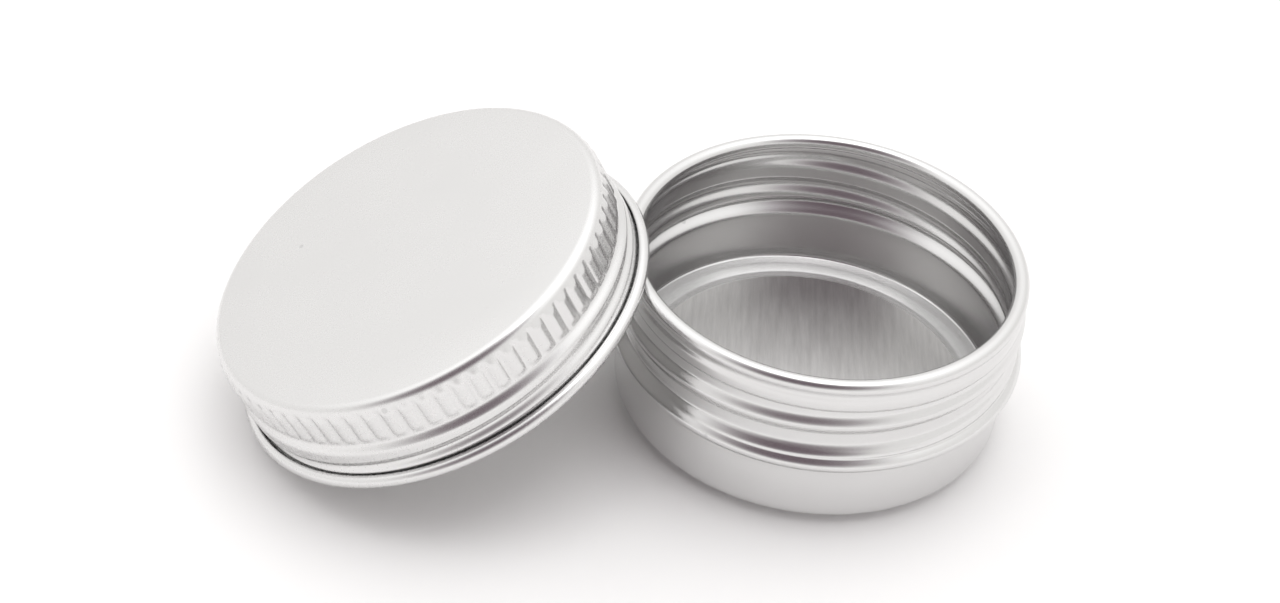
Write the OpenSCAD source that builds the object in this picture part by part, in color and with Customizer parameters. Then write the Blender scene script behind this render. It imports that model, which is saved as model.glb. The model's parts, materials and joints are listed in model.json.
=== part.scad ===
// Round screw-top aluminium tin: an open base with a rolled rim and a pressed thread, and its lid,
// taken off and leaning on the rim. The origin is on the table, under the middle of the base.

/* [Base] */
// Outside radius of the base's straight wall
body_r = 18.2; // [16:0.1:24]
// Height of the base over its rolled rim
base_h = 16.45; // [14:0.05:24]
// Thickness of the base's sheet
base_sheet = 0.36; // [0.25:0.01:0.5]
// Outside radius of the rolled rim's tube
rim_tube_r = 0.7; // [0.6:0.01:0.9]
// Radius of the corner between the wall and the bottom
heel_r = 0.5; // [0.4:0.05:0.8]
// Radius of the flat disc that the base stands on
foot_r = 15.5; // [12:0.1:15.8]
// Rise from the flat disc to the sloping ring round it
foot_step = 0.1; // [0.05:0.01:0.2]
// Slope of the ring between the flat disc and the heel, in degrees
ring_slope = 24; // [12:0.5:26]

/* [Neck and shoulder] */
// Height of the shoulder bead's crest
shoulder_z = 7.75; // [6.5:0.05:8.5]
// How far the shoulder bead stands out from the wall
shoulder_out = 1.0; // [0.5:0.05:1.1]
// Height of the shoulder bead from its lower to its upper edge
shoulder_w = 2.7; // [2:0.1:3.2]
// How far the threaded part of the neck lies inside the wall
neck_in = 0.18; // [0.1:0.01:0.3]
// Height of the plain band under the rolled rim, down from the top
neck_band_h = 2.65; // [2.2:0.05:2.9]

/* [Thread] */
// Rise of the thread in one turn
pitch = 3.2; // [2.8:0.1:3.4]
// Turns of thread on the neck
neck_turns = 1.3; // [1:0.05:1.35]
// Height where the neck's thread starts
neck_thread_z = 9.5; // [9.3:0.05:9.8]
// Height of the neck's thread over the neck
neck_thread_h = 0.48; // [0.4:0.01:0.55]
// Turns of thread in the lid
lid_turns = 0.58; // [0.4:0.02:0.6]
// Height where the lid's thread starts, over the lid's lower edge
lid_thread_h0 = 1.45; // [1.4:0.05:1.6]
// Height of the lid's thread over the skirt's inside
lid_thread_depth = 0.45; // [0.3:0.01:0.5]

/* [Lid] */
// Height of the lid
lid_h = 8.7; // [8:0.05:12]
// Thickness of the lid's sheet
lid_sheet = 0.3; // [0.2:0.01:0.4]
// Gap between the rolled rim and the inside of the lid's upper skirt
rim_gap = 0.1; // [0.05:0.01:0.3]
// How far the skirt's plain band stands out from the upper skirt
band_out = 0.5; // [0.4:0.05:0.7]
// Height of the plain band's upper edge
band_h = 3.5; // [3.4:0.05:4]
// Outside diameter of the rolled edge's tube
curl_d = 1.2; // [1:0.05:1.4]
// Radius of the corner between the disc and the skirt
lid_corner_r = 0.7; // [0.5:0.05:1]

/* [Knurl] */
// Number of flutes round the lid
flutes = 74; // [60:1:90]
// Height of the knurled band's lower edge
knurl_low = 4.8; // [4.5:0.05:5.2]
// Height of the knurled band
knurl_w = 3.1; // [2.5:0.05:3.2]
// Depth of a flute
flute_depth = 0.2; // [0.12:0.01:0.25]

/* [Liner] */
// Thickness of the sealing disc in the lid
liner_t = 0.8; // [0.5:0.05:1]
// Gap between the sealing disc and the lid's disc
liner_gap = 0.1; // [0.05:0.01:0.3]
// Gap between the sealing disc and the lid's skirt
liner_side_gap = 0.6; // [0.4:0.05:0.8]

/* [How the lid leans] */
// Compass direction from the base to the lid, in degrees from +X
lean_direction = 187.95; // [0:0.05:360]
// How far the lid's top face turns away from that direction, in degrees
lean_twist = 2.35; // [-5:0.05:5]
// Where the lid's edge crosses over the rim, in degrees from the line between the two axes
lean_cross = 11.8; // [8:0.1:16]
// Height of the lid's rolled edge over the rim where it crosses
lean_gap = 0.2; // [0.15:0.01:0.4]

/* [Hidden] */

round_steps = 180;
arc_steps = 10;
thread_steps = 32;
flute_steps = 6;
fade_turns = 0.12;
step_w = 0.4;

wall_mid_r = body_r - base_sheet / 2;
neck_mid_r = wall_mid_r - neck_in;
rim_mid_r = rim_tube_r - base_sheet / 2;
rim_c = [wall_mid_r - rim_mid_r, base_h - rim_tube_r];
rim_turn = 250;

heel_c = [wall_mid_r - heel_r, 0];
ring_low = [foot_r + step_w, base_sheet / 2 + foot_step];
ring_high_z = ring_low[1] + (heel_c[0] - ring_low[0]) * tan(ring_slope);
heel_mid = [heel_c[0], ring_high_z + heel_r];

skirt_mid_r = body_r + rim_gap + lid_sheet / 2;
band_mid_r = skirt_mid_r + band_out;
curl_mid_r = (curl_d - lid_sheet) / 2;
curl_c = [band_mid_r + curl_mid_r, curl_d / 2];
curl_turn = 260;
band_slope_h = 0.8;

knurl_r = skirt_mid_r + lid_sheet / 2 + 0.15;
knurl_root = 0.05;

lid_under = lid_h - lid_sheet;
liner_r = skirt_mid_r - lid_sheet / 2 - liner_side_gap;

// The lid stands on the table with its low side, and its edge lies over the rim where both circles cross
edge_cross = asin(rim_c[0] * sin(lean_cross) / curl_c[0]);
lean_rise = base_h + lean_gap;
lean_tilt = asin(lean_rise / (curl_c[0] * (1 + cos(edge_cross))));
lean_reach = rim_c[0] * cos(lean_cross) + curl_c[0] * cos(edge_cross) * cos(lean_tilt) - curl_c[1] * sin(lean_tilt);
lean_at = [
    lean_reach * cos(lean_direction),
    lean_reach * sin(lean_direction),
    curl_c[0] * sin(lean_tilt) + curl_c[1] * (1 - cos(lean_tilt))
];

function unit(v) = v / norm(v);

function left_of(v) = [-v[1], v[0]];

function arc(c, r, from, to, steps = arc_steps) = [
    for (i = [0:steps])
        let (a = from + (to - from) * i / steps)
        c + r * [cos(a), sin(a)]
];

// The line that runs beside a path at the distance d
function beside(path, d) = [
    for (i = [0:len(path) - 1])
        let (
            j = max(i, 1),
            k = min(i + 1, len(path) - 1),
            side_in = left_of(unit(path[j] - path[j - 1])),
            side_out = left_of(unit(path[k] - path[k - 1])),
            n = unit(side_in + side_out)
        )
        path[i] + n * d / (n * side_in)
];

function backwards(path) = [for (i = [len(path) - 1:-1:0]) path[i]];

// The pressed bead round the shoulder: it leaves the wall and comes back to the neck
function shoulder_bead() = [
    for (i = [0:arc_steps + 2])
        let (
            s = i / (arc_steps + 2),
            z = shoulder_z + shoulder_w * (s - 0.5),
            base_line = wall_mid_r - neck_in * s
        )
        [base_line + shoulder_out * pow(sin(180 * s), 2), z]
];

// Middle line of the base's sheet, from the middle of the bottom to the end of the rolled rim
function base_path() = concat(
    [[0, base_sheet / 2], [foot_r, base_sheet / 2], ring_low],
    arc(heel_mid, heel_r, -90 + ring_slope, 0, 5),
    shoulder_bead(),
    [[neck_mid_r, base_h - neck_band_h - 0.4], [wall_mid_r, base_h - neck_band_h]],
    arc(rim_c, rim_mid_r, 0, rim_turn)
);

// Middle line of the lid's sheet, from the middle of the disc to the end of the rolled edge
function lid_path() = concat(
    [[0, lid_h - lid_sheet / 2]],
    arc([skirt_mid_r - lid_corner_r, lid_h - lid_sheet / 2 - lid_corner_r], lid_corner_r, 90, 0, 6),
    [[skirt_mid_r, band_h + band_slope_h], [band_mid_r, band_h]],
    arc(curl_c, curl_mid_r, 180, 180 + curl_turn)
);

// A sheet of one thickness turned round the axis
module pressed(path, sheet) {
    rotate_extrude($fn = round_steps)
        polygon(concat(beside(path, sheet / 2), backwards(beside(path, -sheet / 2))));
}

// A ridge that winds round the axis: root_r lies in the middle of the sheet, crest_r is its top
module thread(root_r, crest_r, half_w, turns, z0, angle0) {
    section = [[0, -1], [0.55, -0.62], [1, -0.2], [1, 0.2], [0.55, 0.62], [0, 1]];
    rings = round(turns * thread_steps);
    sides = len(section);
    points = [
        for (i = [0:rings])
            let (
                t = turns * i / rings,
                fade = max(0.12, min(1, t / fade_turns, (turns - t) / fade_turns)),
                a = angle0 + 360 * t
            )
            for (s = section)
                let (r = root_r + (crest_r - root_r) * s[0] * fade)
                [r * cos(a), r * sin(a), z0 + pitch * t + half_w * s[1] * (0.4 + 0.6 * fade)]
    ];
    turned = crest_r > root_r;
    walls = [
        for (i = [0:rings - 1])
            for (j = [0:sides - 1])
                let (k = (j + 1) % sides, a = i * sides, b = a + sides)
                each [[a + j, a + k, b + k], [a + j, b + k, b + j]]
    ];
    last = rings * sides;
    caps = [[for (j = [sides - 1:-1:0]) j], [for (j = [0:sides - 1]) last + j]];
    faces = concat(walls, caps);
    polyhedron(points, turned ? faces : [for (f = faces) backwards(f)]);
}

// The fluted band round the lid
module knurl() {
    count = flutes * flute_steps;
    outline = [
        for (i = [0:count - 1])
            let (
                a = 360 * i / count,
                r = knurl_r - flute_depth * (1 - sqrt(abs(sin(a * flutes / 2))))
            )
            r * [cos(a), sin(a)]
    ];
    translate([0, 0, knurl_low])
        linear_extrude(knurl_w)
            difference() {
                polygon(outline);
                circle(r = skirt_mid_r + knurl_root, $fn = round_steps);
            }
}

// Puts a piece of the lid where the lid leans
module lean() {
    translate(lean_at)
        rotate([0, lean_tilt, lean_direction + lean_twist])
            children();
}

module base_cup() {
    color("lightgray") {
        pressed(base_path(), base_sheet);
        thread(neck_mid_r, neck_mid_r + base_sheet / 2 + neck_thread_h, 1, neck_turns, neck_thread_z, 0);
    }
}

module lid_shell() {
    color("gainsboro")
        lean() {
            pressed(lid_path(), lid_sheet);
            knurl();
            thread(band_mid_r, band_mid_r - lid_sheet / 2 - lid_thread_depth, 0.75, lid_turns, lid_thread_h0, 0);
        }
}

module lid_liner() {
    color("whitesmoke")
        lean()
            translate([0, 0, lid_under - liner_gap - liner_t])
                cylinder(h = liner_t, r = liner_r, $fn = round_steps);
}

base_cup();
lid_shell();
lid_liner();
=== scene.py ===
"""A round screw-top aluminium tin: its open base, and its lid, taken off and leaning on the rim."""
import json
import logging
import math
from collections.abc import Callable
from dataclasses import dataclass, field
from enum import Enum

import bmesh
import bpy
from mathutils import Matrix, Vector


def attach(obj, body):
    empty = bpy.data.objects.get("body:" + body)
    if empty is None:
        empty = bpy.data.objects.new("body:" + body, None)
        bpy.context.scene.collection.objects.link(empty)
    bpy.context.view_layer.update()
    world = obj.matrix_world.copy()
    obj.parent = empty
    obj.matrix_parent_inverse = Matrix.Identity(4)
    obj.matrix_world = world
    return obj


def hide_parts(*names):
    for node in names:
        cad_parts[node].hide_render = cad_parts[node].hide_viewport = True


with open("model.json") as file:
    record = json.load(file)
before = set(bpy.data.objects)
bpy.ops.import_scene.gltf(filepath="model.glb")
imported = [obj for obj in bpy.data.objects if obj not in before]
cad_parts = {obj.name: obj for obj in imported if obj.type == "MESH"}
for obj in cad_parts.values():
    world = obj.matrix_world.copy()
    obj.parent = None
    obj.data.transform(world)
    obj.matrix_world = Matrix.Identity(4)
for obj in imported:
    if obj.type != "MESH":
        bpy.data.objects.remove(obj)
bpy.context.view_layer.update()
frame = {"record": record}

LOG = logging.getLogger("tin")

# A millimetre, and the height of a finish's bumps, in metres.
MM = 0.001
BUMP_HEIGHT = 0.0001
# How near two points are one, and how near a point is to the axis, in millimetres.
SAME_POINT = 1e-5
ON_AXIS = 1e-4

Point = tuple[float, float]
Colour = tuple[float, float, float, float]
Socket = bpy.types.NodeSocket


class Soft(Enum):
    """Which number of a section's points changes softly, while the other one runs evenly."""

    RADIUS = 0
    HEIGHT = 1


class Sum(Enum):
    """What a Math node works out."""

    ADD = "ADD"
    TIMES = "MULTIPLY"
    TIMES_AND_ADD = "MULTIPLY_ADD"
    LESS_THAN = "LESS_THAN"
    GREATER_OF = "MAXIMUM"
    ROOT = "SQRT"


class Blend(Enum):
    """What a Mix node blends: its data type, the input of its first value, and its output."""

    NUMBERS = ("FLOAT", 2, 0)
    COLOURS = ("RGBA", 6, 2)


def ease(x: float) -> float:
    """A smooth step from 0 at 0 to 1 at 1."""
    x = min(max(x, 0.0), 1.0)
    return x * x * (3 - 2 * x)


def hump(x: float) -> float:
    """A smooth rise from 0 at -1 to 1 at 0 and back to 0 at 1."""
    return math.cos(math.pi * x / 2) ** 2 if abs(x) < 1 else 0.0


def arc(centre: Point, radius: float, start: float, end: float, steps: int) -> list[Point]:
    """Points on a round stretch of a section.

    Args:
        centre: Middle of the arc, in millimetres.
        radius: Radius of the arc, in millimetres.
        start: Angle of the first point, in degrees.
        end: Angle of the last point, in degrees.
        steps: Number of stretches between the points.

    Returns:
        The points in order, both ends included.
    """
    angles = [math.radians(start + (end - start) * i / steps) for i in range(steps + 1)]
    return [(centre[0] + radius * math.cos(a), centre[1] + radius * math.sin(a)) for a in angles]


def run(start: Point, end: Point, steps: int, soft: Soft | None = None) -> list[Point]:
    """Points on a stretch of a section between two points, the last one left out.

    Args:
        start: First point, in millimetres.
        end: Point after the last one, in millimetres.
        steps: Number of points.
        soft: The number that leaves and arrives softly, or None for a straight stretch.

    Returns:
        The points in order.
    """
    points = []
    for i in range(steps):
        even = i / steps
        shares = [ease(even) if soft is kind else even for kind in Soft]
        points.append(tuple(a + (b - a) * share for a, b, share in zip(start, end, shares)))
    return points


def beside(path: list[Point], distance: float) -> list[Point]:
    """The line that runs beside a path.

    Args:
        path: Points of the path, in millimetres.
        distance: How far to the left of the path the line runs.

    Returns:
        One point for each point of the path.
    """
    line = []
    last = len(path) - 1
    for i, here in enumerate(path):
        before, after = max(i, 1), min(i + 1, last)
        way_in = Vector(path[before]) - Vector(path[before - 1])
        way_out = Vector(path[after]) - Vector(path[after - 1])
        left_in = Vector((-way_in.y, way_in.x)).normalized()
        left_out = Vector((-way_out.y, way_out.x)).normalized()
        middle = (left_in + left_out).normalized()
        line.append(tuple(Vector(here) + middle * distance / middle.dot(left_in)))
    return line


def turned_piece(
    name: str, section: list[Point], steps: int, press: Callable[[float, Point], float] | None = None
) -> bpy.types.Object:
    """Turns a section round the Z axis, and then presses its waves.

    Args:
        name: Name of the piece.
        section: Radius and height of the section's points, in millimetres. Its two ends lie on the axis.
        steps: Number of steps in the full turn.
        press: Gives the push outwards, in millimetres, from a point's angle and its radius and height.

    Returns:
        The object, with its mesh in metres.
    """
    mesh = bmesh.new()
    start = [mesh.verts.new((r, 0.0, z)) for r, z in section]
    edges = [mesh.edges.new(pair) for pair in zip(start, start[1:])]
    bmesh.ops.spin(
        mesh, geom=start + edges, cent=(0, 0, 0), axis=(0, 0, 1), dvec=(0, 0, 0),
        angle=math.tau, steps=steps, use_merge=True, use_duplicate=False,
    )
    bmesh.ops.remove_doubles(mesh, verts=mesh.verts, dist=SAME_POINT)
    for vert in mesh.verts:
        radius = math.hypot(vert.co.x, vert.co.y)
        if press is None or radius < ON_AXIS:
            continue
        angle = math.degrees(math.atan2(vert.co.y, vert.co.x)) % 360
        push = press(angle, (radius, vert.co.z))
        vert.co.x *= 1 + push / radius
        vert.co.y *= 1 + push / radius
    bmesh.ops.recalc_face_normals(mesh, faces=mesh.faces)
    bmesh.ops.scale(mesh, vec=(MM, MM, MM), verts=mesh.verts)
    data = bpy.data.meshes.new(name)
    mesh.to_mesh(data)
    mesh.free()
    data.shade_smooth()
    piece = bpy.data.objects.new(name, data)
    bpy.context.scene.collection.objects.link(piece)
    return piece


@dataclass(frozen=True)
class Thread:
    """A pressed thread: a helical wave in the sheet, with lengths in millimetres and angles in degrees."""

    pitch: float
    start_angle: float
    start_z: float
    turns: float
    height: float
    half_width: float
    fade_in: float = 40.0
    fade_out: float = 50.0

    def lift(self, angle: float, z: float) -> float:
        """How far the thread pushes the sheet out at one place.

        Args:
            angle: Angle round the axis, in degrees, from 0 to 360.
            z: Height on the axis, in millimetres.

        Returns:
            The push, in millimetres.
        """
        most = 0.0
        length = 360 * self.turns
        for turn in range(-1, math.ceil(self.turns) + 2):
            along = angle + 360 * turn - self.start_angle
            if not 0 <= along <= length:
                continue
            crest = self.start_z + self.pitch * along / 360
            fade = ease(along / self.fade_in) * ease((length - along) / self.fade_out)
            most = max(most, self.height * fade * hump((z - crest) / self.half_width))
        return most


class NodeTree:
    """Short calls that add and join shader nodes."""

    def __init__(self, owner: bpy.types.Material | bpy.types.World) -> None:
        """Clears the owner's node tree.

        Args:
            owner: The material or world whose nodes are built.
        """
        owner.use_nodes = True
        self.tree = owner.node_tree
        self.tree.nodes.clear()

    def feed(self, slot: Socket, value: object) -> None:
        """Links a socket to an input, or gives the input a value.

        Args:
            slot: The input.
            value: A socket, or a number, a vector or a colour.
        """
        if isinstance(value, Socket):
            self.tree.links.new(value, slot)
        else:
            slot.default_value = value

    def add(self, kind: str, **settings: object) -> bpy.types.Node:
        """Adds a node.

        Args:
            kind: The node's type.
            settings: Properties of the node, and values or sockets for its inputs, by name.

        Returns:
            The new node.
        """
        node = self.tree.nodes.new(kind)
        for name, value in settings.items():
            if hasattr(node, name):
                setattr(node, name, value)
            else:
                self.feed(node.inputs[name.replace("_", " ")], value)
        return node

    def reckon(self, what: Sum, *values: float | Socket) -> Socket:
        """Works out a number for each point of the surface.

        Args:
            what: The sum.
            values: Numbers, or sockets to link.

        Returns:
            The result.
        """
        node = self.add("ShaderNodeMath", operation=what.value)
        for slot, value in zip(node.inputs, values):
            self.feed(slot, value)
        return node.outputs[0]

    def blend(self, what: Blend, factor: float | Socket, low: object, high: object) -> Socket:
        """Blends two numbers or two colours.

        Args:
            what: Numbers or colours.
            factor: Number or socket, 0 for the first value.
            low: The first value, or a socket.
            high: The second value, or a socket.

        Returns:
            The blended number or colour.
        """
        data_type, first, result = what.value
        node = self.add("ShaderNodeMix", data_type=data_type)
        for slot, value in zip((node.inputs[0], *node.inputs[first:first + 2]), (factor, low, high)):
            self.feed(slot, value)
        return node.outputs[result]


def grey(level: float, warmth: float = 0.0) -> Colour:
    """A grey, a little warmer than neutral where warmth is above 0."""
    return (level * (1 + warmth), level, level * (1 - warmth), 1.0)


@dataclass(frozen=True)
class RolledStreaks:
    """The rolling marks of a flat disc: fine streaks in one direction that darken and roughen the sheet."""

    radius: float
    top: float
    scale: float = 2200.0
    stretch: tuple[float, float, float] = (1.0, 0.09, 1.0)
    turn: float = -4.0
    roughness: float = 0.12
    roughness_spread: float = 0.16
    darkest: float = 0.67
    lightest: float = 1.14
    warmth: float = 0.012

    def area(self, nodes: NodeTree, place: Socket) -> Socket:
        """Marks where the disc is.

        Args:
            nodes: The material's nodes.
            place: Coordinates in the piece's own frame, in metres.

        Returns:
            1 on the disc's upper face and 0 elsewhere.
        """
        split = nodes.add("ShaderNodeSeparateXYZ", Vector=place)
        across = nodes.reckon(Sum.TIMES, split.outputs["X"], split.outputs["X"])
        along = nodes.reckon(Sum.TIMES, split.outputs["Y"], split.outputs["Y"])
        radius = nodes.reckon(Sum.ROOT, nodes.reckon(Sum.ADD, across, along))
        low = nodes.reckon(Sum.LESS_THAN, split.outputs["Z"], self.top * MM)
        return nodes.reckon(Sum.TIMES, nodes.reckon(Sum.LESS_THAN, radius, self.radius * MM), low)

    def pattern(self, nodes: NodeTree, place: Socket) -> Socket:
        """Makes the streaks.

        Args:
            nodes: The material's nodes.
            place: Coordinates in the piece's own frame, in metres.

        Returns:
            A number from 0 to 1 that changes from streak to streak.
        """
        drawn_out = nodes.add(
            "ShaderNodeMapping", Vector=place, Scale=self.stretch, Rotation=(0, 0, math.radians(self.turn))
        )
        streaks = nodes.add(
            "ShaderNodeTexNoise", Vector=drawn_out.outputs[0], Scale=self.scale, Detail=6.0, Roughness=0.7
        )
        return streaks.outputs[0]


@dataclass(frozen=True)
class SatinAluminium:
    """Pressed aluminium sheet with a soft sheen, fine grain, faint clouds and a few scuffs."""

    name: str
    colour: float = 0.71
    warmth: float = 0.004
    roughness: float = 0.23
    grain_scale: float = 2600.0
    grain_depth: float = 0.014
    grain_roughness: float = 0.04
    cloud_scale: float = 120.0
    cloud_roughness: float = 0.03
    cloud_shade: float = 0.02
    scuff_scale: float = 190.0
    scuff_size: float = 0.05
    scuff_strength: float = 0.5
    scuff_shade: float = 0.72
    place: Matrix = field(default_factory=lambda: Matrix.Identity(4))
    streaks: RolledStreaks | None = None

    def material(self) -> bpy.types.Material:
        """Builds the finish.

        Returns:
            The material, in the piece's Object coordinates.
        """
        made = bpy.data.materials.new(self.name)
        nodes = NodeTree(made)
        back = self.place.inverted()
        own = nodes.add(
            "ShaderNodeMapping", Vector=nodes.add("ShaderNodeTexCoord").outputs["Object"],
            Location=back.to_translation(), Rotation=back.to_euler(),
        ).outputs[0]
        grain = nodes.add(
            "ShaderNodeTexNoise", Vector=own, Scale=self.grain_scale, Detail=4.0, Roughness=0.6
        ).outputs[0]
        cloud = nodes.add(
            "ShaderNodeTexNoise", Vector=own, Scale=self.cloud_scale, Detail=3.0, Roughness=0.5
        ).outputs[0]
        height, rough = grain, self._roughness(nodes, grain, cloud)
        shade = self._shade(nodes, own, cloud)
        if self.streaks:
            on_disc, lines = self.streaks.area(nodes, own), self.streaks.pattern(nodes, own)
            height = nodes.blend(Blend.NUMBERS, on_disc, height, lines)
            rough = nodes.blend(Blend.NUMBERS, on_disc, rough, self._streak_roughness(nodes, lines))
            shade = nodes.blend(Blend.COLOURS, on_disc, shade, self._streak_shade(nodes, lines))
        bump = nodes.add("ShaderNodeBump", Strength=self.grain_depth, Distance=BUMP_HEIGHT, Height=height)
        shader = nodes.add(
            "ShaderNodeBsdfPrincipled", Metallic=1.0, Base_Color=shade, Roughness=rough,
            Normal=bump.outputs[0],
        )
        nodes.add("ShaderNodeOutputMaterial", Surface=shader.outputs[0])
        return made

    def _roughness(self, nodes: NodeTree, grain: Socket, cloud: Socket) -> Socket:
        """Makes the sheet's roughness a little uneven with the grain and the clouds.

        Args:
            nodes: The material's nodes.
            grain: The fine grain, from 0 to 1.
            cloud: The faint clouds, from 0 to 1.

        Returns:
            The roughness.
        """
        lowest = self.roughness - self.grain_roughness / 2 - self.cloud_roughness / 2
        rough = nodes.reckon(Sum.TIMES_AND_ADD, grain, self.grain_roughness, lowest)
        return nodes.reckon(Sum.TIMES_AND_ADD, cloud, self.cloud_roughness, rough)

    def _shade(self, nodes: NodeTree, own: Socket, cloud: Socket) -> Socket:
        """Gives the sheet its colour, with the clouds and the dark scuffs.

        Args:
            nodes: The material's nodes.
            own: Coordinates in the piece's own frame, in metres.
            cloud: The faint clouds, from 0 to 1.

        Returns:
            The colour.
        """
        darker = grey(self.colour * (1 - self.cloud_shade), self.warmth)
        lighter = grey(self.colour * (1 + self.cloud_shade), self.warmth)
        clouded = nodes.blend(Blend.COLOURS, cloud, darker, lighter)
        scuffs = nodes.add("ShaderNodeTexVoronoi", Vector=own, Scale=self.scuff_scale)
        inside = nodes.reckon(Sum.LESS_THAN, scuffs.outputs["Distance"], self.scuff_size)
        amount = nodes.reckon(Sum.TIMES, inside, self.scuff_strength)
        return nodes.blend(Blend.COLOURS, amount, clouded, grey(self.colour * self.scuff_shade))

    def _streak_roughness(self, nodes: NodeTree, lines: Socket) -> Socket:
        """Makes the streaked disc rougher than the sheet around it.

        Args:
            nodes: The material's nodes.
            lines: The streaks, from 0 to 1.

        Returns:
            The roughness.
        """
        lowest = self.roughness + self.streaks.roughness
        return nodes.reckon(Sum.TIMES_AND_ADD, lines, self.streaks.roughness_spread, lowest)

    def _streak_shade(self, nodes: NodeTree, lines: Socket) -> Socket:
        """Gives the streaked disc its colour.

        Args:
            nodes: The material's nodes.
            lines: The streaks, from 0 to 1.

        Returns:
            The colour.
        """
        dark = grey(self.colour * self.streaks.darkest, self.streaks.warmth)
        light = grey(self.colour * self.streaks.lightest, self.streaks.warmth)
        return nodes.blend(Blend.COLOURS, lines, dark, light)


@dataclass(frozen=True)
class FoamLiner:
    """White closed-cell foam of the sealing disc."""

    name: str = "liner_foam"
    colour: float = 0.86
    warmth: float = 0.01
    roughness: float = 0.8
    cell_scale: float = 2200.0
    cell_shade: float = 0.92
    cell_depth: float = 0.25

    def material(self) -> bpy.types.Material:
        """Builds the finish.

        Returns:
            The material, in the piece's Object coordinates.
        """
        made = bpy.data.materials.new(self.name)
        nodes = NodeTree(made)
        cells = nodes.add(
            "ShaderNodeTexVoronoi", Scale=self.cell_scale,
            Vector=nodes.add("ShaderNodeTexCoord").outputs["Object"],
        ).outputs["Distance"]
        light, dark = grey(self.colour, self.warmth), grey(self.colour * self.cell_shade, self.warmth)
        bump = nodes.add("ShaderNodeBump", Strength=self.cell_depth, Distance=BUMP_HEIGHT, Height=cells)
        shader = nodes.add(
            "ShaderNodeBsdfPrincipled", Roughness=self.roughness, Normal=bump.outputs[0],
            Base_Color=nodes.blend(Blend.COLOURS, cells, light, dark),
        )
        nodes.add("ShaderNodeOutputMaterial", Surface=shader.outputs[0])
        return made


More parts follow.
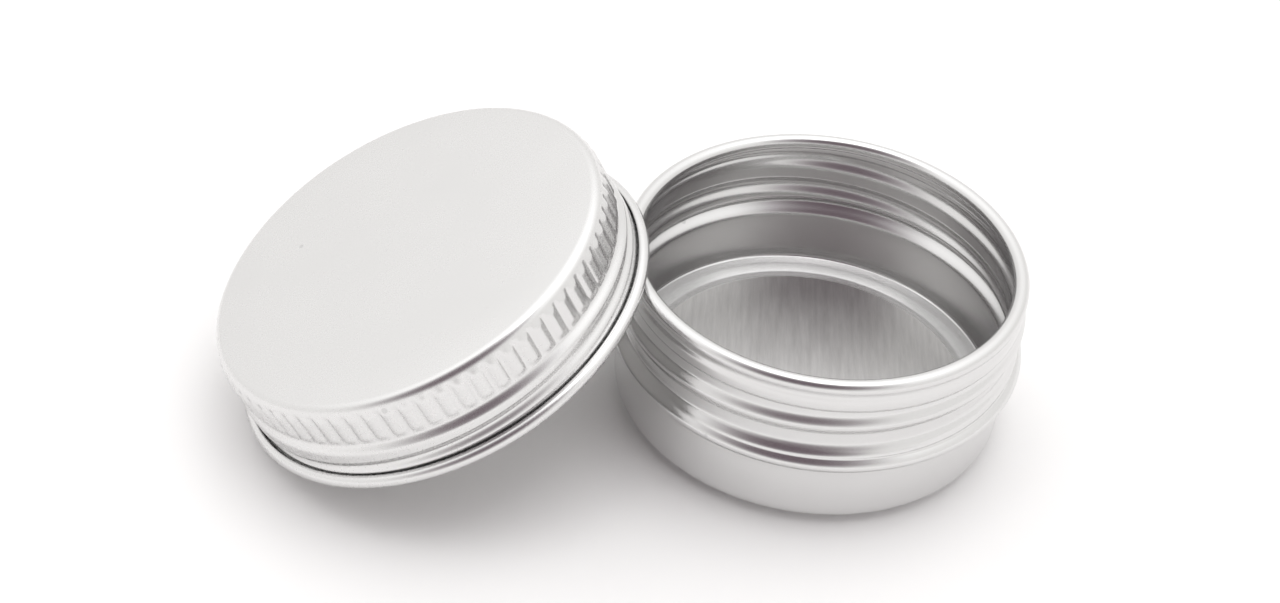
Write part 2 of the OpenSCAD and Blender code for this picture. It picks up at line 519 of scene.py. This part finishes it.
@dataclass
class Base:
    """The open base: flat foot, sloping ring, wall, shoulder bead, neck with thread, rolled rim.

    Lengths are in millimetres and angles in degrees, on the middle line of the sheet.
    """

    sheet: float = 0.36
    height: float = 16.45
    wall_r: float = 18.02
    steps: int = 300
    # Foot, the small step at its edge, and the sloping ring up to the heel.
    foot_r: float = 15.5
    foot_step: float = 0.1
    foot_step_w: float = 0.4
    ring_slope: float = 24.0
    heel_r: float = 0.5
    # Shoulder bead: middle, width and how far it stands out.
    shoulder_z: float = 7.75
    shoulder_w: float = 2.7
    shoulder_out: float = 1.0
    shoulder_steps: int = 26
    # Neck, which stands in a little, and the band over it, which starts with a soft step.
    neck_in: float = 0.18
    neck_above_bead: float = 0.12
    band_h: float = 2.65
    band_step_below: float = 0.4
    band_step_above: float = 0.1
    # Notch under the rim: where it may start over the band's foot, its depth, half its width, and how far
    # its middle lies under the tube's middle.
    notch_above_band: float = 0.3
    notch_depth: float = 0.16
    notch_half_w: float = 0.75
    notch_drop: float = 0.62
    # Rolled rim.
    rim_tube_r: float = 0.7
    rim_turn: float = 265.0
    # Thread, and how far above the band's foot and how deep inside the wall it may reach.
    thread: Thread = Thread(
        pitch=3.2, start_angle=-160, start_z=8.05, turns=1.85, height=0.5, half_width=1.15, fade_out=70
    )
    thread_above: float = 0.5
    thread_within: float = 1.0

    def bead(self, z: float) -> float:
        """How far the shoulder bead stands out.

        Args:
            z: Height on the axis, in millimetres.

        Returns:
            The distance from the wall, in millimetres, 0 above and below the bead.
        """
        share = (z - self.shoulder_z) / self.shoulder_w + 0.5
        return self.shoulder_out * math.sin(math.pi * min(max(share, 0.0), 1.0)) ** 2

    def foot(self) -> list[Point]:
        """The flat foot, the sloping ring and the round heel.

        Returns:
            Points from the middle of the foot to the foot of the wall.
        """
        half = self.sheet / 2
        ring_low = (self.foot_r + self.foot_step_w, half + self.foot_step)
        heel_x = self.wall_r - self.heel_r
        slope = math.tan(math.radians(self.ring_slope))
        ring_high = (heel_x, ring_low[1] + (heel_x - ring_low[0]) * slope)
        heel = (heel_x, ring_high[1] + self.heel_r)
        return (
            run((0.0, half), (self.foot_r, half), steps=6)
            + run((self.foot_r, half), ring_low, steps=4, soft=Soft.HEIGHT)
            + run(ring_low, ring_high, steps=5)
            + arc(heel, self.heel_r, self.ring_slope - 90, 0, steps=8)
        )

    def wall(self, foot: Point) -> list[Point]:
        """The wall, the shoulder bead and the neck.

        Args:
            foot: The last point of the heel.

        Returns:
            Points from over the heel to the foot of the band.
        """
        shoulder = []
        for i in range(self.shoulder_steps + 1):
            share = i / self.shoulder_steps
            z = self.shoulder_z + self.shoulder_w * (share - 0.5)
            shoulder.append((self.wall_r - self.neck_in * share + self.bead(z), z))
        neck_r, neck_z = shoulder[-1]
        band_foot = (neck_r, self.height - self.band_h - self.band_step_below)
        return (
            run((self.wall_r, foot[1] + self.heel_r), shoulder[0], steps=5)
            + shoulder
            + run((neck_r, neck_z + self.neck_above_bead), band_foot, steps=34)
        )

    def rim(self) -> list[Point]:
        """The band, the notch over it and the rolled rim.

        Returns:
            Points from the foot of the band to the open end of the rim.
        """
        band_z = self.height - self.band_h
        band_low = (self.wall_r - self.neck_in, band_z - self.band_step_below)
        band_high = (self.wall_r, band_z + self.band_step_above)
        tube_r = self.rim_tube_r - self.sheet / 2
        tube = (self.wall_r - tube_r, self.height - self.rim_tube_r)
        notch_low = (self.wall_r, band_z + self.notch_above_band)
        notched = []
        for radius, z in run(notch_low, (self.wall_r, tube[1]), steps=14):
            share = (z - tube[1] + self.notch_drop) / self.notch_half_w
            notched.append((radius - self.notch_depth * hump(share), z))
        return (
            run(band_low, band_high, steps=6, soft=Soft.RADIUS)
            + [band_high]
            + notched
            + arc(tube, tube_r, 0, self.rim_turn, steps=22)
        )

    def press(self, angle: float, point: Point) -> float:
        """Push of the thread at one place of the sheet.

        Args:
            angle: Angle round the axis, in degrees.
            point: Radius and height, in millimetres.

        Returns:
            The push outwards, in millimetres.
        """
        radius, z = point
        over = z > self.height - self.band_h + self.thread_above
        if over or radius < self.wall_r - self.thread_within:
            return 0.0
        return max(0.0, self.thread.lift(angle, z) - self.bead(z))

    def build(self) -> bpy.types.Object:
        """Makes the base and dresses it.

        Returns:
            The piece, riding on its body.
        """
        foot = self.foot()
        path = foot + self.wall(foot[-1]) + self.rim()
        sheet = beside(path, -self.sheet / 2) + beside(path, self.sheet / 2)[::-1]
        piece = turned_piece("base_cup_visual", sheet, self.steps, self.press)
        streaks = RolledStreaks(radius=self.foot_r, top=self.sheet + self.foot_step)
        piece.data.materials.append(SatinAluminium("base_aluminium", streaks=streaks).material())
        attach(piece, "base")
        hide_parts("base_cup")
        return piece


@dataclass
class Lid:
    """The lid: flat disc, fluted skirt, band with thread, rolled edge, and the sealing disc inside.

    Lengths are in millimetres and angles in degrees. The skirt's and the band's radius are those of the
    middle line of the sheet.
    """

    place: Matrix
    sheet: float = 0.3
    height: float = 8.7
    # Disc, with a ring of points halfway under it, and its round corner, which ends just before the skirt.
    disc_ring_inside: float = 9.0
    corner_r: float = 0.7
    corner_end: float = 4.0
    # Skirt, which starts a little under the corner and ends inside over the step to the band.
    skirt_r: float = 18.45
    skirt_top: float = 0.02
    skirt_foot_inside: float = 4.6
    # The wider band, and the soft step over it from the skirt.
    band_r: float = 18.95
    band_h: float = 3.5
    band_low: float = 1.0
    step_h: float = 0.95
    # Rolled edge.
    curl_d: float = 1.2
    curl_turn: float = 285.0
    # Flutes: how far the lobes stand out, how deep the valleys are, and how fast both ends fade.
    flutes: int = 74
    flute_steps: int = 7
    flute_low: float = 4.8
    flute_high: float = 7.95
    flute_out: float = 0.24
    flute_depth: float = 0.36
    flute_fullness: float = 0.8
    flute_overlap: float = 0.15
    flute_fade_low: float = 0.3
    flute_fade_high: float = 0.8
    # Sealing disc.
    liner_t: float = 0.8
    liner_gap: float = 0.1
    liner_r: float = 17.7
    liner_edge_high: float = 0.12
    liner_edge_low: float = 0.15
    liner_steps: int = 120
    # Thread, and how far beyond the band it may reach.
    thread: Thread = Thread(
        pitch=3.1, start_angle=-90, start_z=1.35, turns=0.75, height=0.32, half_width=0.75
    )
    thread_above: float = 0.6
    thread_outside: float = 0.3

    def outer(self) -> list[Point]:
        """The outside of the lid.

        Returns:
            Points from the middle of the disc to the rolled edge.
        """
        half = self.sheet / 2
        skirt, band = self.skirt_r + half, self.band_r + half
        corner = self.corner_r + half
        corner_x, corner_z = skirt - corner, self.height - corner
        flute_foot = self.flute_low - self.flute_overlap
        return (
            run((0.0, self.height), (corner_x, self.height), steps=5)
            + arc((corner_x, corner_z), corner, 90, self.corner_end, steps=9)
            + run((skirt, corner_z - self.skirt_top), (skirt, flute_foot), steps=16)
            + run((skirt, self.band_h + self.step_h), (band, self.band_h), steps=8, soft=Soft.RADIUS)
            + run((band, self.band_h), (band, self.band_low), steps=20)
        )

    def inner(self) -> list[Point]:
        """The inside of the lid.

        Returns:
            Points from the rolled edge to the middle of the disc.
        """
        half = self.sheet / 2
        skirt, band = self.skirt_r - half, self.band_r - half
        corner = self.corner_r - half
        under = self.height - self.sheet
        return (
            run((band, self.band_low), (band, self.band_h), steps=18)
            + run((band, self.band_h), (skirt, self.band_h + self.step_h), steps=6, soft=Soft.RADIUS)
            + run((skirt, self.skirt_foot_inside), (skirt, under - corner), steps=4)
            + arc((skirt - corner, under - corner), corner, 0, 90, steps=5)
            + [(self.disc_ring_inside, under), (0.0, under)]
        )

    def curl(self) -> tuple[list[Point], list[Point]]:
        """The rolled edge between the outside and the inside of the band.

        Returns:
            The line on the roll's hollow side and the line on its outer side.
        """
        half = self.sheet / 2
        middle_r = self.curl_d / 2 - half
        centre = (self.band_r + middle_r, self.curl_d / 2)
        path = arc(centre, middle_r, 180, 180 + self.curl_turn, steps=20)
        return beside(path, half), beside(path, -half)

    def press(self, angle: float, point: Point) -> float:
        """Push of the flutes and the thread at one place.

        Args:
            angle: Angle round the axis, in degrees.
            point: Radius and height, in millimetres.

        Returns:
            The push outwards, in millimetres.
        """
        radius, z = point
        above_low = z - self.flute_low + self.flute_overlap
        below_high = self.flute_high + self.flute_overlap - z
        if min(above_low, below_high) > 0 and self.skirt_r < radius < self.band_r:
            ends = ease(above_low / self.flute_fade_low) * ease(below_high / self.flute_fade_high)
            lobe = abs(math.sin(math.radians(angle * self.flutes / 2))) ** self.flute_fullness
            return ends * (self.flute_out - self.flute_depth * (1 - lobe))
        in_band = self.band_low < z < self.band_h + self.thread_above
        if in_band and radius < self.band_r + self.thread_outside:
            return -self.thread.lift(angle, z)
        return 0.0

    def shell(self) -> bpy.types.Object:
        """Makes the lid's sheet and dresses it.

        Returns:
            The piece, riding on its body.
        """
        hollow_side, outer_side = self.curl()
        section = self.outer() + outer_side + hollow_side[::-1] + self.inner()
        piece = turned_piece("lid_shell_visual", section, self.flutes * self.flute_steps, self.press)
        piece.data.transform(self.place)
        finish = SatinAluminium("lid_aluminium", colour=0.74, roughness=0.27, place=self.place)
        piece.data.materials.append(finish.material())
        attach(piece, "lid")
        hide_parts("lid_shell")
        return piece

    def liner(self) -> bpy.types.Object:
        """Makes the sealing disc and dresses it.

        Returns:
            The piece, riding on its body.
        """
        top = self.height - self.sheet - self.liner_gap
        low = top - self.liner_t
        section = [
            (0.0, top), (self.liner_r - self.liner_edge_high, top),
            (self.liner_r, top - self.liner_edge_high), (self.liner_r, low + self.liner_edge_low),
            (self.liner_r - self.liner_edge_low, low), (0.0, low),
        ]
        piece = turned_piece("sealing_disc", section, self.liner_steps)
        piece.data.transform(self.place)
        piece.data.materials.append(FoamLiner().material())
        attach(piece, "lid_carrier")
        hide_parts("lid_liner")
        return piece


@dataclass(frozen=True)
class Studio:
    """White table, soft light from above, and the camera of the photograph."""

    # Camera: place in millimetres, angles in degrees, and the focal length in pixels of the frame's width.
    eye: tuple[float, float, float] = (-16.30, -127.17, 115.60)
    pitch: float = 40.19
    roll: float = 5.45
    focal_px: float = 1799.2
    frame_px: float = 1280.0
    sensor: float = 36.0
    clip_start: float = 0.001
    # Table: its own grey, the grey that is seen and mirrored, and its size and drop in metres.
    table: float = 0.80
    table_seen: float = 0.96
    table_warmth: float = 0.004
    table_size: float = 3.0
    table_drop: float = 0.00002
    # Room: its light low down and overhead, and the dark zone on the side where the camera stands.
    low_light: Colour = grey(1.0, 0.012)
    high_light: Colour = grey(1.38, 0.004)
    rise: tuple[float, float] = (0.3, 0.9)
    dark_light: Colour = (0.17, 0.13, 0.15, 1.0)
    dark_zone: tuple[float, float] = (0.66, 0.985)
    # Lamp: place and size in metres, and power in watts.
    lamp_place: tuple[float, float, float] = (0.05, 0.05, 0.7)
    lamp_size: float = 0.5
    lamp_power: float = 1.0

    def camera(self) -> None:
        """Sets the camera at the photograph's viewing angle."""
        pitch, roll = math.radians(self.pitch), math.radians(self.roll)
        sin_p, cos_p, sin_r, cos_r = math.sin(pitch), math.cos(pitch), math.sin(roll), math.cos(roll)
        ahead = Vector((0, cos_p, -sin_p))
        right = Vector((cos_r, sin_r * sin_p, sin_r * cos_p))
        up = Vector((-sin_r, cos_r * sin_p, cos_r * cos_p))
        facing = Matrix((right, up, -ahead)).transposed().to_4x4()
        data = bpy.data.cameras.new("camera")
        data.sensor_width = self.sensor
        data.lens = self.focal_px * self.sensor / self.frame_px
        data.clip_start = self.clip_start
        rig = bpy.data.objects.new("camera", data)
        rig.matrix_world = Matrix.Translation(Vector(self.eye) * MM) @ facing
        bpy.context.scene.collection.objects.link(rig)
        bpy.context.scene.camera = rig

    def floor(self) -> None:
        """Lays the white table."""
        mesh = bmesh.new()
        bmesh.ops.create_grid(mesh, x_segments=1, y_segments=1, size=self.table_size / 2)
        bmesh.ops.translate(mesh, vec=(0, 0, -self.table_drop), verts=mesh.verts)
        data = bpy.data.meshes.new("table")
        mesh.to_mesh(data)
        mesh.free()
        table = bpy.data.objects.new("table", data)
        bpy.context.scene.collection.objects.link(table)
        made = bpy.data.materials.new("table_white")
        nodes = NodeTree(made)
        ray = nodes.add("ShaderNodeLightPath").outputs
        seen = nodes.reckon(Sum.GREATER_OF, ray["Is Camera Ray"], ray["Is Glossy Ray"])
        seen = nodes.reckon(Sum.GREATER_OF, seen, ray["Is Transmission Ray"])
        own_grey, seen_grey = (grey(level, self.table_warmth) for level in (self.table, self.table_seen))
        shade = nodes.blend(Blend.COLOURS, seen, own_grey, seen_grey)
        shader = nodes.add("ShaderNodeBsdfDiffuse", Color=shade)
        nodes.add("ShaderNodeOutputMaterial", Surface=shader.outputs[0])
        data.materials.append(made)

    def world(self) -> None:
        """Fills the room with soft light, dimmer on the side where the camera stands."""
        world = bpy.data.worlds.new("room")
        bpy.context.scene.world = world
        nodes = NodeTree(world)
        direction = nodes.add("ShaderNodeTexCoord").outputs["Generated"]
        towards = nodes.add("ShaderNodeVectorMath", operation="DOT_PRODUCT")
        nodes.feed(towards.inputs[0], direction)
        nodes.feed(towards.inputs[1], Vector(self.eye).normalized())
        height = nodes.add("ShaderNodeSeparateXYZ", Vector=direction)
        near = self._soft_range(nodes, towards.outputs["Value"], self.dark_zone)
        rise = self._soft_range(nodes, height.outputs["Z"], self.rise)
        room = nodes.blend(Blend.COLOURS, rise, self.low_light, self.high_light)
        light = nodes.add(
            "ShaderNodeBackground", Color=nodes.blend(Blend.COLOURS, near, room, self.dark_light)
        )
        nodes.add("ShaderNodeOutputWorld", Surface=light.outputs[0])

    def _soft_range(self, nodes: NodeTree, value: Socket, ends: tuple[float, float]) -> Socket:
        """Turns a value into a soft rise from 0 to 1.

        Args:
            nodes: The world's nodes.
            value: The value.
            ends: The values where the rise starts and where it ends.

        Returns:
            The rise.
        """
        low, high = ends
        rise = nodes.add(
            "ShaderNodeMapRange", interpolation_type="SMOOTHSTEP", Value=value, From_Min=low, From_Max=high
        )
        return rise.outputs[0]

    def lamp(self) -> None:
        """Hangs the soft lamp over the table."""
        data = bpy.data.lights.new("ceiling", "AREA")
        data.size = self.lamp_size
        data.energy = self.lamp_power
        lamp = bpy.data.objects.new("ceiling", data)
        lamp.location = self.lamp_place
        lamp.rotation_euler = Vector(self.lamp_place).to_track_quat("Z", "Y").to_euler()
        bpy.context.scene.collection.objects.link(lamp)


def lid_place() -> Matrix:
    """Where the lid lies, from the joint that turns it.

    Returns:
        The matrix from the lid's own frame, in metres, to the row's frame.
    """
    turn = next(joint for joint in frame["record"]["behaviour"]["joints"] if joint["name"] == "lid_turn")
    axis = Vector(turn["axis"]).normalized()
    level = Vector((0, 0, 1)).cross(axis).normalized()
    rows = Matrix((level, axis.cross(level), axis)).transposed().to_4x4()
    return Matrix.Translation(Vector(turn["pos_m"])) @ rows


def main() -> None:
    """Builds the studio and the tin."""
    logging.basicConfig(level=logging.INFO, format="%(message)s")
    studio = Studio()
    studio.camera()
    studio.floor()
    studio.world()
    studio.lamp()
    lid = Lid(place=lid_place())
    for piece in (Base().build(), lid.shell(), lid.liner()):
        LOG.info("%s: %d faces", piece.name, len(piece.data.polygons))
    bpy.context.scene.view_settings.view_transform = "Standard"
    bpy.context.view_layer.update()


if __name__ == "__main__":
    main()
